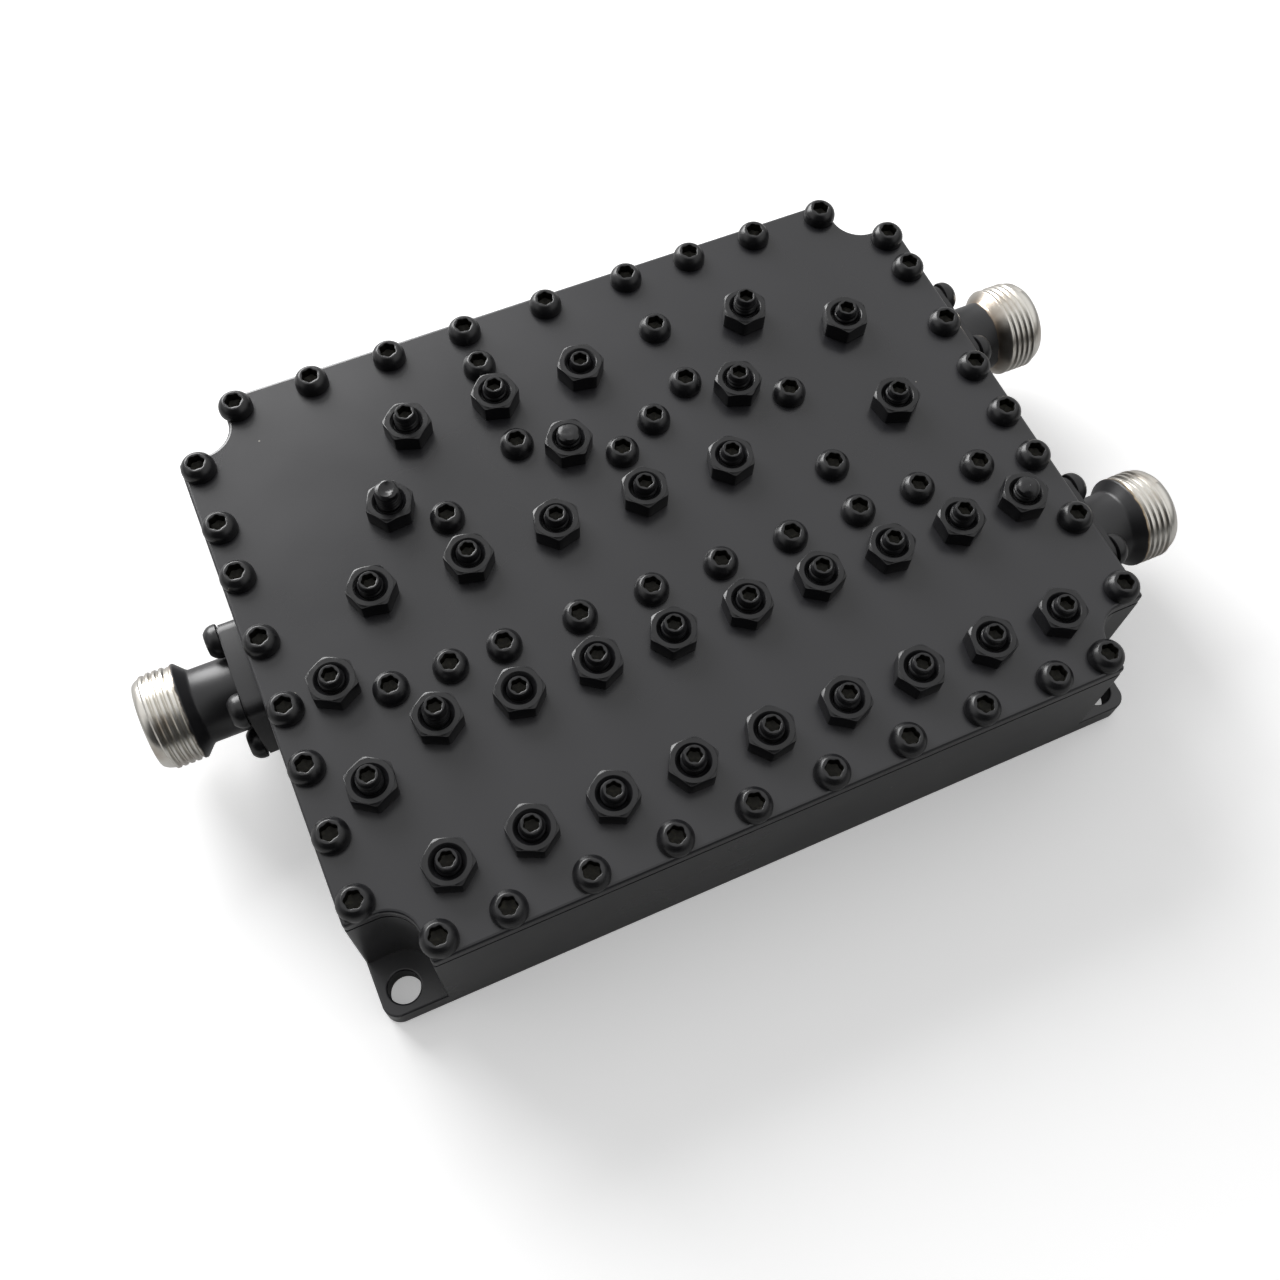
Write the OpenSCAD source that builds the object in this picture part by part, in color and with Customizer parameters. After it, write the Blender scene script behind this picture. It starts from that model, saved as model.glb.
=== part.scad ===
// Cavity diplexer for two radio bands, with three threaded coaxial jacks.
// A milled housing holds two filters: seven round cavities in two staggered rows at the back,
// and a channel with nine lying rods at the front. A cover plate carries the tuning screws.
// Millimetres, +Z up, base at z = 0, centred on the housing.

/* [Housing] */
// distance between neighbouring round cavities
cavity_pitch = 30.4; // [29:0.1:34]
// radius of a round cavity
cavity_r = 12; // [10:0.5:12]
// wall between the rear cavities and the back face
end_wall = 6; // [5.5:0.5:9]
// thinnest wall between a cavity and an end face
side_wall = 7; // [6.5:0.5:10]
// shift of both filters towards the end with two jacks
shift_x = 0.9; // [0:0.1:1.2]
// wall between the cavities and the rod channel
septum = 8.2; // [6:0.2:9]
// rod channel, front to back
channel_w = 31.4; // [31:0.2:38]
// wall in front of the rod channel
front_wall = 5; // [5:0.5:9]
// wall between the ends of the rod channel and the end faces
rod_wall = 6.5; // [6.5:0.5:9]
// housing height up to the cover
housing_h = 24; // [23.5:0.5:32]
// floor thickness
floor_t = 3; // [2.5:0.25:4]
// windows cut between coupled cavities
window_w = 9; // [6:0.5:10]
// window from the second last cavity to the last one
last_window_w = 7; // [5:0.5:8]

/* [Corners] */
// size of the square corner notches
notch = 9.5; // [8:0.25:10]
// inner radius left by the cutter in a notch
notch_r = 5; // [2:0.25:6]
// thickness of the mounting ears
ear_t = 4.5; // [3:0.5:8]
// outer corner radius of an ear
ear_r = 2.5; // [1:0.25:3]
// wall between a notch and the pocket behind it
notch_wall = 6; // [4:0.5:8]
// mounting hole through each ear
ear_hole_d = 5; // [4.3:0.1:5.5]
// mounting hole centre from both outer faces
ear_hole_in = 4; // [3.6:0.1:4.4]

/* [Cover] */
// cover plate thickness
cover_t = 2.5; // [2:0.25:5]
// distance of the screw lines from the outer faces
line_in = 2.75; // [2.5:0.05:3.2]
// last screws of the front and back lines, from the notches
row_end_in = 2.1; // [2.1:0.1:4]

/* [Cover screws] */
// thread diameter
screw_d = 3; // [2:0.1:3]
// head diameter
head_d = 5.5; // [5:0.1:5.6]
// head height
head_h = 2.3; // [1.5:0.1:3]
// height of the straight rim under the domed crown
head_rim = 1; // [0.5:0.1:1.4]
// flat top of the crown
head_flat_d = 3.2; // [2.8:0.1:4]
// depth of the screws in the housing
screw_depth = 5.5; // [4:0.5:6]
// six-sided socket, across its corners
socket_d = 2.8; // [2.2:0.1:2.8]
// socket depth
socket_depth = 1.3; // [0.8:0.1:1.5]
// free depth below each screw in its hole
hole_spare = 1; // [0.4:0.1:1.2]
// clearance of the screws in plain holes, on the diameter
hole_clear = 0.4; // [0.2:0.1:0.6]
// clearance drawn between mating threads and fitted pins, on the diameter
thread_clear = 0.1; // [0.06:0.02:0.16]

/* [Tuning screws] */
// thread diameter
tuner_d = 4; // [3.5:0.1:4.5]
// flat tip of the tapered end
tuner_tip_d = 3; // [2.6:0.1:3.4]
// length of the tapered end
tuner_taper = 1.5; // [0.5:0.1:2]
// socket across its corners
tuner_socket_d = 2.3; // [1.6:0.1:2.4]
// depth of that socket
tuner_socket_depth = 1.5; // [0.8:0.1:1.8]
// usual stand-off of a screw above its nut
tuner_out = 1.6; // [1.2:0.1:3]
// nut across flats
nut_af = 7; // [6.5:0.1:8]
// nut height
nut_h = 3.2; // [2:0.1:4]
// countersink of the nut thread
nut_sink_d = 4.9; // [4.6:0.1:5.4]
// gap between the cavity posts and the cover
post_gap = 4; // [2:0.25:6]
// reach of a tuning screw into the bore of its post
post_reach = 2; // [0.5:0.25:4]
// free gap between the screws in the windows and the floor
window_gap = 9; // [4:0.5:14]
// gap between a tuning screw and the rod or line under it
rod_gap = 1.5; // [0.5:0.25:3]
// overlap of the screws between the rods with the rods' height
between_reach = 2.5; // [0:0.25:5]

/* [Cavity posts] */
// post diameter
post_d = 9; // [8.4:0.25:11]
// bore in the top of a post
post_bore_d = 6; // [5.5:0.1:6.6]
// depth of that bore
post_bore_depth = 7; // [5:0.5:9]
// fixing screw from below
post_screw_d = 3; // [2.5:0.1:3.5]
// reach of the fixing screw into its post
post_screw_reach = 5; // [3:0.5:6]

/* [Rods] */
// distance between neighbouring rods
rod_pitch = 12.5; // [11.5:0.05:13.5]
// rod diameter
rod_d = 6; // [5:0.25:6.5]
// free end of a rod from the front wall of its channel
rod_end_gap = 3.5; // [2:0.25:5]
// depth of the ledge that carries the rod feet
ledge_w = 7; // [6:0.5:8]
// width of a rod foot
foot_w = 7; // [6.5:0.25:7.5]
// length of the foot screws in the ledge
foot_screw_depth = 6; // [4:0.5:7]
// head height of the foot screws
foot_head_h = 2.8; // [2:0.1:3.2]
// hexagon socket of the foot screws, across its corners
hex_socket_d = 2.9; // [2.4:0.1:3.2]
// depth of that socket
hex_socket_depth = 1.3; // [0.8:0.1:1.6]
// free width beside the hub of the front output line
hub_side_gap = 1; // [0.5:0.25:2]
// tuning screws over the free ends, from the rod ends
rod_tuner_in = 3.1; // [2:0.1:5]
// screws between the rods, from the septum
between_in = 4.4; // [4:0.1:8]

/* [Jacks] */
// height of the jack axes above the base
jack_z = 14; // [13.5:0.25:14.5]
// side of the square flange
flange_side = 17.5; // [17.2:0.1:18]
// corner radius of the flange
flange_r = 2.5; // [0.5:0.5:2.5]
// flange thickness
flange_t = 3.2; // [2.5:0.1:4]
// spacing of the flange screws
flange_pitch = 12.7; // [12.6:0.1:13]
// neck behind the thread
neck_d = 12.2; // [11.5:0.1:12.3]
// neck length
neck_len = 6.8; // [4:0.1:10]
// length of the sloping shoulder
shoulder_len = 1.6; // [0.8:0.1:2.5]
// outside diameter of the thread
thread_d = 15.7; // [15:0.1:17]
// threaded barrel length
barrel_len = 6.7; // [6:0.1:11]
// chamfer at the mouth
barrel_chamfer = 1.2; // [0.3:0.1:1.4]
// bore at the mouth
mouth_d = 8.4; // [8:0.1:9]
// depth of the mouth bore
mouth_depth = 9; // [7:0.1:10]
// bore behind it, filled by the insulator
line_d = 7; // [6:0.1:7.6]
// bore through the housing wall
wall_bore_d = 5.4; // [4.4:0.1:5.6]
// front of the insulator from the front of the flange
insulator_out = 3; // [1:0.1:5]
// contact diameter
contact_d = 3; // [2.8:0.1:3.4]
// contact tip from the mouth
contact_in = 5.3; // [5:0.1:6]
// bore of the contact
contact_bore_d = 1.6; // [1.4:0.1:1.9]
// depth of that bore and of its slots
contact_bore_depth = 4; // [3:0.1:5]
// width of the slots
contact_slot = 0.4; // [0.2:0.1:0.5]
// pin behind the contact
pin_d = 1.6; // [1.2:0.1:2]
// flange screws in the housing
flange_screw_depth = 4.5; // [3:0.5:5]
// common jack from the line of the front cavities
common_jack_dy = -1.1; // [-1.5:0.1:1.5]
// rear output jack from the same line
rear_jack_dy = 14.4; // [13:0.1:16]
// front output jack from the septum
front_jack_dy = 9.4; // [9:0.1:13]

/* [Lines] */
// diameter of the soldered lines
wire_d = 2; // [1.6:0.1:2.4]
// side of the square hub on the end of each pin
hub = 3.5; // [3:0.25:4]
// end of the common line, from the septum
line_end_in = 10; // [9.5:0.5:14]
// reach of a line into the drilled hole of a post or rod
wire_reach = 1.2; // [0.5:0.1:2]

/* [Hidden] */
$fn = 48;
eps = 0.01;
cutter_r = 3;
row_step = cavity_pitch * sin(60);
rod_count = 9;

// the housing is as long as the longer of its two filters, counted from the shifted end
hub_gap = 0.6;
rod_row_half = (rod_count - 1) / 2 * rod_pitch + rod_d / 2;
cavity_row_l = 3 * cavity_pitch + 2 * cavity_r + 2 * side_wall + 2 * shift_x;
rod_row_l = 2 * (rod_row_half + hub_gap + hub + hub_side_gap + rod_wall + shift_x);
body_l = max(cavity_row_l, rod_row_l);
body_w = end_wall + cavity_r + row_step + cavity_r + septum + channel_w + front_wall;
half_l = body_l / 2;
half_w = body_w / 2;
top_z = housing_h + cover_t;

// lines across the housing, from its back to its front
back_y = half_w - end_wall - cavity_r;
near_y = back_y - row_step;
septum_y = near_y - cavity_r - septum / 2;
channel_back = septum_y - septum / 2;
channel_front = channel_back - channel_w;

// cavities in the order in which the signal passes them
near_steps = [-1.5, -0.5, 0.5, 1.5];
near = [for (p = near_steps) [shift_x + p * cavity_pitch, near_y]];
back = [for (p = [-1, 0, 1]) [shift_x + p * cavity_pitch, back_y]];
cavities = [near[0], back[0], back[1], near[1], near[2], back[2], near[3]];
first_cavity = cavities[0];
last_cavity = cavities[6];
// pairs of cavities with a tuning screw in their window; the last one bypasses two cavities
bypass = [0, 3];
pairs = [[0, 1], [1, 2], [2, 3], [3, 4], [4, 5], bypass];

// rods, side by side with their feet on the ledge behind them
rod_x = [for (i = [0 : rod_count - 1]) shift_x + (i - (rod_count - 1) / 2) * rod_pitch];
last_rod_x = rod_x[rod_count - 1];
rod_end = channel_front + rod_end_gap;
ledge_front = channel_back - ledge_w;
ledge_z = jack_z - rod_d / 2;
foot_gap = 0.2;
rod_side_gap = 0.6;
foot_screw_y = channel_back - ledge_w / 2;
rod_tuner_y = rod_end + rod_tuner_in;
between_y = channel_back - between_in;
channel_left = shift_x - rod_row_half - rod_side_gap;
channel_right = shift_x + rod_row_half + rod_side_gap;
pocket_end = half_l - rod_wall;
pocket_front = notch + notch_wall - half_w;

// lines from the jack pins to the first posts and rods
line_half_w = 4;
line_r = 2.5;
line_spare = 1;
line_x = pocket_end - line_half_w;
common_y = near_y + common_jack_dy;
rear_y = near_y + rear_jack_dy;
front_y = channel_back - front_jack_dy;
front_hub_x = last_rod_x + rod_d / 2 + hub_gap + hub / 2;
line_end_y = channel_back - line_end_in;
port_dx = 1.5;
port_dy = 2.5;
port = [last_cavity[0] + port_dx, rear_y + port_dy];
port_r = 6;
port_slot_w = 7;

// cover screw places along each line, as shares of the way from its middle to its ends
line_x_at = half_l - line_in;
line_y_at = half_w - line_in;
row_end = half_l - notch - row_end_in;
side_end_in = 2.5;
side_end = half_w - notch - side_end_in;
back_shares = [-1, -0.76, -0.51, -0.26, 0.015, 0.295, 0.52, 0.755, 1];
front_shares = [-1, -0.81, -0.58, -0.34, -0.11, 0.125, 0.36, 0.595, 0.83, 1];
back_screws = [for (p = back_shares) [p * row_end, line_y_at]];
front_screws = [for (p = front_shares) [p * row_end, -line_y_at]];
// the side lines keep clear of the flange screws, so they are counted from the jacks in
// spacings of the flange screws
common_shares = [1.69, 0.945, 0, -0.945, -1.73, -2.6];
rear_shares = [0.81, -0.22, -1.01, -1.81];
front_jack_shares = [0.915, -0.1];
left_screws = [
    [-line_x_at, side_end], [-line_x_at, -side_end],
    for (p = common_shares) [-line_x_at, common_y + p * flange_pitch]
];
right_screws = [
    [line_x_at, side_end], [line_x_at, -side_end],
    for (p = rear_shares) [line_x_at, rear_y + p * flange_pitch],
    for (p = front_jack_shares) [line_x_at, front_y + p * flange_pitch]
];
// septum screws in rod pitches, web screws in cavity pitches and row steps
septum_shares = [-3.87, -3.12, -2.43, -1.44, -0.48, 0.47, 1.45, 2.42, 3.29, 4.18];
web_shares = [
    [-0.5, 1.285], [-0.5, 0.64], [-1, 0.315], [0, 0.335], [0.24, 0.48],
    [0.5, 0.66], [0.5, 1.125], [1, 0.335], [1, -0.26]
];
septum_screws = [for (p = septum_shares) [shift_x + p * rod_pitch, septum_y]];
web_screws = [for (p = web_shares) [shift_x + p[0] * cavity_pitch, near_y + p[1] * row_step]];
cover_screw_points = concat(
    back_screws, front_screws, left_screws, right_screws, septum_screws, web_screws
);

// tuning screw places: the screw of the bypass window and the first one between the rods
// stand a little off their rows, and the last port screw stands beside the front output line
bypass_shift = [0.4, -0.5];
first_between_dy = 0.95;
window_points = [
    for (p = pairs) (cavities[p[0]] + cavities[p[1]]) / 2 + (p == bypass ? bypass_shift : [0, 0])
];
rod_points = [for (x = rod_x) [x, rod_tuner_y]];
between_points = [
    for (i = [0 : rod_count - 2])
        [rod_x[i] + rod_pitch / 2, between_y + (i == 0 ? first_between_dy : 0)]
];
septum_tuner_dy = 3.7;
line_tuner_dy = 0.6;
rear_tuner_dy = 3.8;
end_tuner_in = 2.6;
port_points = [
    [-line_x, septum_y + septum_tuner_dy], [-line_x, line_end_y + line_tuner_dy],
    [last_cavity[0], rear_y + rear_tuner_dy], [pocket_end - end_tuner_in, between_y]
];
tuner_points = concat(cavities, window_points, rod_points, between_points, port_points);

// how much further than usual each screw stands out, as left by the tuning of the filters
cavity_extra = [0.1, 0.8, -0.8, -0.1, 0, 1, 0.2];
window_extra = [1.8, 0.1, 0.1, -0.2, 0.1, -0.2];
rod_extra = [-0.3, -0.1, 0.1, 0.6, 0.1, 0.3, 0, -0.1, 0];
between_extra = [1.5, -0.7, 0.1, 0.1, 0, 0.2, 0.3, 0.7];
port_extra = [0, 1, 0, 0.6];

// heights of the posts and of the lower ends of the tuning screws
post_top = housing_h - post_gap;
cavity_tip = post_top - post_reach;
window_tip = floor_t + window_gap;
rod_tip = jack_z + rod_d / 2 + rod_gap;
between_tip = jack_z + rod_d / 2 - between_reach;
line_tip = jack_z + hub / 2 + rod_gap;

// jack stations from the housing face outwards
neck_end = flange_t + neck_len;
shoulder_end = neck_end + shoulder_len;
mouth = shoulder_end + barrel_len;
insulator_front = flange_t + insulator_out;
contact_tip = mouth - contact_in;
contact_seat = 2;
flange_half = flange_side / 2;

// countersunk heads under the floor, and the heads of the foot screws
sink_head_d = 5.5;
sink_head_h = 1.4;
sink_rim = 0.2;
sink_socket_depth = 1.1;
foot_head_d = 5.2;

// Flat shapes

// rectangle from one corner to the other, with round corners
module rounded_box(low, high, r) {
    translate(low + [r, 0]) square([high[0] - low[0] - 2 * r, high[1] - low[1]]);
    translate(low + [0, r]) square([high[0] - low[0], high[1] - low[1] - 2 * r]);
    for (x = [low[0] + r, high[0] - r], y = [low[1] + r, high[1] - r]) translate([x, y]) circle(r);
}

// straight slot between two points, with square ends
module slot(a, b, w) {
    way = b - a;
    translate(a) rotate(atan2(way[1], way[0])) translate([0, -w / 2]) square([norm(way), w]);
}

// square corner notch with a round inner corner
module corner_notch() {
    translate([half_l - notch + notch_r, half_w - notch]) square(notch);
    translate([half_l - notch, half_w - notch + notch_r]) square(notch);
    translate([half_l - notch + notch_r, half_w - notch + notch_r]) circle(notch_r);
}

// outline of housing and cover
module notched_outline() {
    difference() {
        square([body_l, body_w], center = true);
        for (x = [0, 1], y = [0, 1]) mirror([x, 0]) mirror([0, y]) corner_notch();
    }
}

// round cavities, their windows, and the pocket of the rear port
module cavity_pockets() {
    for (c = cavities) translate(c) circle(cavity_r);
    for (p = pairs) slot(cavities[p[0]], cavities[p[1]], window_w);
    slot(cavities[5], cavities[6], last_window_w);
    translate(port) circle(port_r);
    slot([line_x, rear_y], last_cavity, port_slot_w);
    slot([pocket_end, rear_y], [port[0], rear_y], port_slot_w);
}

// channel under the rods, wider where the notches allow it
module channel_pocket() {
    rounded_box([channel_left, channel_front], [channel_right, ledge_front], cutter_r);
    rounded_box([-pocket_end, pocket_front], [pocket_end, ledge_front], cutter_r);
}

// room for the rod feet above the ledge
module ledge_pocket() {
    rounded_box([-pocket_end, pocket_front], [pocket_end, channel_back], cutter_r);
}

// passage of the common line past the end of the septum
module line_pocket() {
    low = [-line_x - line_half_w, line_end_y - line_half_w];
    high = [-line_x + line_half_w, common_y + line_half_w + line_spare];
    rounded_box(low, high, line_r);
}

// Placing

// jack frame: +X outwards from the housing face, on the jack axis
module at_common_jack() { translate([-half_l, common_y, jack_z]) mirror([1, 0, 0]) children(); }
module at_rear_jack() { translate([half_l, rear_y, jack_z]) children(); }
module at_front_jack() { translate([half_l, front_y, jack_z]) children(); }

// round bar along +X of the jack frame, from one station to another
module bar(from, to, d) { translate([from, 0, 0]) rotate([0, 90, 0]) cylinder(d = d, h = to - from); }

module at_flange_holes() {
    for (y = [-1, 1], z = [-1, 1])
        translate([0, y * flange_pitch / 2, z * flange_pitch / 2]) rotate([0, 90, 0]) children();
}

module at_points(points, z = 0) {
    for (p = points) translate([p[0], p[1], z]) children();
}

// Housing and cover

module housing() {
    color("#2e2f31") difference() {
        union() {
            linear_extrude(housing_h) notched_outline();
            linear_extrude(ear_t) rounded_box([-half_l, -half_w], [half_l, half_w], ear_r);
        }
        translate([0, 0, floor_t]) linear_extrude(housing_h) {
            cavity_pockets();
            channel_pocket();
            line_pocket();
        }
        translate([0, 0, ledge_z]) linear_extrude(housing_h) ledge_pocket();
        housing_bores();
        for (x = [-1, 1], y = [-1, 1])
            translate([x * (half_l - ear_hole_in), y * (half_w - ear_hole_in), -eps])
                cylinder(d = ear_hole_d, h = ear_t + 2 * eps);
    }
}

// every screw hole and jack bore of the housing
module housing_bores() {
    cover_hole_h = screw_depth + hole_spare;
    at_points(cover_screw_points, housing_h - cover_hole_h)
        cylinder(d = screw_d + thread_clear, h = cover_hole_h + eps);
    at_points([for (x = rod_x) [x, foot_screw_y]], ledge_z - foot_screw_depth - hole_spare)
        cylinder(d = screw_d + thread_clear, h = foot_screw_depth + hole_spare + eps);
    at_points(cavities, -eps) {
        cylinder(d = post_screw_d + hole_clear, h = floor_t + 2 * eps);
        cylinder(d = sink_head_d + hole_clear, h = sink_rim + eps);
    }
    at_points(cavities, sink_rim)
        cylinder(d1 = sink_head_d + hole_clear, d2 = post_screw_d + hole_clear, h = sink_head_h);
    at_common_jack() wall_bores();
    at_rear_jack() wall_bores();
    at_front_jack() wall_bores();
}

module wall_bores() {
    bar(-rod_wall - line_spare, eps, wall_bore_d + thread_clear);
    translate([-flange_screw_depth - hole_spare, 0, 0]) at_flange_holes()
        cylinder(d = screw_d + thread_clear, h = flange_screw_depth + hole_spare + eps);
}

module cover() {
    color("#333438") difference() {
        translate([0, 0, housing_h]) linear_extrude(cover_t) notched_outline();
        at_points(cover_screw_points, housing_h - eps)
            cylinder(d = screw_d + hole_clear, h = cover_t + 2 * eps);
        at_points(tuner_points, housing_h - eps)
            cylinder(d = tuner_d + thread_clear, h = cover_t + 2 * eps);
    }
}

// Screws and nuts

module pan_screw(shank) {
    difference() {
        union() {
            cylinder(d = head_d, h = head_rim);
            translate([0, 0, head_rim]) cylinder(d1 = head_d, d2 = head_flat_d, h = head_h - head_rim);
            translate([0, 0, -shank]) cylinder(d = screw_d, h = shank + eps);
        }
        translate([0, 0, head_h - socket_depth]) cylinder(d = socket_d, h = head_h, $fn = 6);
    }
}

module cover_screws(points) {
    for (i = [0 : len(points) - 1])
        color("#3a3a3c") translate([points[i][0], points[i][1], top_z])
            rotate(37 * i) pan_screw(cover_t + screw_depth);
}

// tuning screw from its lower tip to its end above the nut
module tuner(tip, extra) {
    end = top_z + nut_h + tuner_out + extra;
    difference() {
        union() {
            translate([0, 0, tip]) cylinder(d = tuner_d, h = end - tuner_taper - tip);
            translate([0, 0, end - tuner_taper])
                cylinder(d1 = tuner_d, d2 = tuner_tip_d, h = tuner_taper);
        }
        translate([0, 0, end - tuner_socket_depth])
            cylinder(d = tuner_socket_d, h = 2 * tuner_socket_depth, $fn = 6);
    }
}

module tuners(points, tip, extra) {
    for (i = [0 : len(points) - 1])
        color("#3b3a3a") translate([points[i][0], points[i][1], 0]) rotate(23 * i) tuner(tip, extra[i]);
}

// hexagon nut with a chamfered top and a countersunk thread
module locknut() {
    corner_d = nut_af / cos(30);
    chamfer_h = (corner_d - nut_af) / 2 * tan(30);
    sink_h = (nut_sink_d - tuner_d) / 2;
    difference() {
        intersection() {
            cylinder(d = corner_d, h = nut_h, $fn = 6);
            union() {
                cylinder(d = 2 * nut_af, h = nut_h - chamfer_h);
                translate([0, 0, nut_h - chamfer_h])
                    cylinder(d1 = corner_d, d2 = nut_af, h = chamfer_h);
            }
        }
        translate([0, 0, -eps]) cylinder(d = tuner_d + thread_clear, h = nut_h + 2 * eps);
        translate([0, 0, nut_h - sink_h]) cylinder(d1 = tuner_d, d2 = nut_sink_d, h = sink_h + eps);
    }
}

module locknuts(points) {
    for (i = [0 : len(points) - 1])
        color("#343435") translate([points[i][0], points[i][1], top_z]) rotate(17 * i) locknut();
}

// Jacks, in the jack frame

module jack_body() {
    color("#8d8f92") difference() {
        union() {
            rotate([90, 0, 90]) linear_extrude(flange_t)
                rounded_box([-flange_half, -flange_half], [flange_half, flange_half], flange_r);
            bar(flange_t - eps, neck_end + eps, neck_d);
            translate([neck_end, 0, 0]) rotate([0, 90, 0])
                cylinder(d1 = neck_d, d2 = thread_d, h = shoulder_len);
            bar(shoulder_end - eps, mouth - barrel_chamfer, thread_d);
            translate([mouth - barrel_chamfer, 0, 0]) rotate([0, 90, 0])
                cylinder(d1 = thread_d, d2 = thread_d - 2 * barrel_chamfer, h = barrel_chamfer);
        }
        bar(-eps, mouth, line_d + thread_clear);
        bar(mouth - mouth_depth, mouth + eps, mouth_d);
        at_flange_holes() translate([0, 0, -eps])
            cylinder(d = screw_d + hole_clear, h = flange_t + 2 * eps);
    }
}

module jack_insulator() {
    color("white") difference() {
        union() {
            bar(0, insulator_front, line_d);
            bar(-rod_wall, eps, wall_bore_d);
        }
        bar(contact_seat, insulator_front + eps, contact_d + thread_clear);
        bar(-rod_wall - eps, insulator_front, pin_d + thread_clear);
    }
}

// slotted contact and the pin behind it, which ends in the hub of its line
module jack_contact(pin_end) {
    color("gold") difference() {
        union() {
            bar(contact_seat, contact_tip, contact_d);
            bar(-pin_end, contact_seat + eps, pin_d);
        }
        bar(contact_tip - contact_bore_depth, contact_tip + eps, contact_bore_d);
        for (turn = [0, 90]) rotate([turn, 0, 0])
            translate([contact_tip - contact_bore_depth, -contact_slot / 2, -contact_d])
                cube([contact_bore_depth + eps, contact_slot, 2 * contact_d]);
    }
}

module flange_screws() {
    color("#3a3a3c") at_flange_holes() translate([0, 0, flange_t])
        pan_screw(flange_t + flange_screw_depth);
}

// Posts, rods and lines

module cavity_posts() {
    wire_hole_d = wire_d + thread_clear;
    for (c = cavities) color("#c8c9cb") difference() {
        translate([c[0], c[1], floor_t]) cylinder(d = post_d, h = post_top - floor_t);
        translate([c[0], c[1], post_top - post_bore_depth])
            cylinder(d = post_bore_d, h = post_bore_depth + eps);
        translate([c[0], c[1], floor_t - eps])
            cylinder(d = post_screw_d + thread_clear, h = post_screw_reach + hole_spare);
        if (c == first_cavity) common_post_wire(wire_hole_d);
        if (c == last_cavity) rear_post_wire(wire_hole_d);
    }
}

module post_screws() {
    for (c = cavities) color("silver") translate([c[0], c[1], sink_rim]) difference() {
        union() {
            cylinder(d1 = sink_head_d, d2 = post_screw_d, h = sink_head_h);
            cylinder(d = post_screw_d, h = floor_t - sink_rim + post_screw_reach);
        }
        translate([0, 0, -eps]) cylinder(d = socket_d, h = sink_socket_depth, $fn = 6);
    }
}

module filter_rods() {
    for (x = rod_x) color("#c8c9cb") translate([x, 0, jack_z]) difference() {
        union() {
            translate([0, ledge_front + eps, 0]) rotate([90, 0, 0])
                cylinder(d = rod_d, h = ledge_front - rod_end + eps);
            translate([-foot_w / 2, ledge_front, -rod_d / 2])
                cube([foot_w, ledge_w - foot_gap, rod_d]);
        }
        translate([0, foot_screw_y, -rod_d]) cylinder(d = screw_d + hole_clear, h = 2 * rod_d);
        if (x == rod_x[0]) translate([-x, 0, -jack_z]) common_rod_wire(wire_d + thread_clear);
        if (x == last_rod_x) translate([-x, 0, -jack_z]) front_rod_wire(wire_d + thread_clear);
    }
}

module foot_screws() {
    for (x = rod_x) color("silver") translate([x, foot_screw_y, jack_z + rod_d / 2]) difference() {
        union() {
            cylinder(d = foot_head_d, h = foot_head_h);
            translate([0, 0, -rod_d - foot_screw_depth])
                cylinder(d = screw_d, h = rod_d + foot_screw_depth + eps);
        }
        translate([0, 0, foot_head_h - hex_socket_depth])
            cylinder(d = hex_socket_d, h = 2 * hex_socket_depth, $fn = 6);
    }
}

// wire along the floor plane of the jack axes, from one point to another
module wire(a, b, d) {
    way = b - a;
    translate([a[0], a[1], jack_z]) rotate(atan2(way[1], way[0])) rotate([0, 90, 0])
        cylinder(d = d, h = norm(way));
}

// stretches of wire that end inside a post or a rod
module common_post_wire(d) {
    post_edge = first_cavity[0] - sqrt(pow(post_d / 2, 2) - pow(common_jack_dy, 2));
    wire([-line_x, common_y], [post_edge + wire_reach, common_y], d);
}
module common_rod_wire(d) {
    wire([-line_x, line_end_y], [rod_x[0] - rod_d / 2 + wire_reach, line_end_y], d);
}
module rear_post_wire(d) {
    start = [line_x, rear_y];
    way = last_cavity - start;
    wire(start, last_cavity - way / norm(way) * (post_d / 2 - wire_reach), d);
}
module front_rod_wire(d) {
    wire([front_hub_x, front_y], [last_rod_x + rod_d / 2 - wire_reach, front_y], d);
}

module hub_block(x, y) { translate([x, y, jack_z]) cube(hub, center = true); }

module common_line() {
    color("#d0b070") difference() {
        union() {
            hub_block(-line_x, common_y);
            common_post_wire(wire_d);
            common_rod_wire(wire_d);
            wire([-line_x, common_y], [-line_x, line_end_y], wire_d);
            translate([-line_x, line_end_y, jack_z]) sphere(d = wire_d);
        }
        at_common_jack() bar(-half_l + line_x, 0, pin_d + thread_clear);
    }
}

module rear_line() {
    color("#d0b070") difference() {
        union() {
            hub_block(line_x, rear_y);
            rear_post_wire(wire_d);
        }
        at_rear_jack() bar(-half_l + line_x, 0, pin_d + thread_clear);
    }
}

module front_line() {
    color("#d0b070") difference() {
        union() {
            hub_block(front_hub_x, front_y);
            front_rod_wire(wire_d);
        }
        at_front_jack() bar(-half_l + front_hub_x, 0, pin_d + thread_clear);
    }
}

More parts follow.
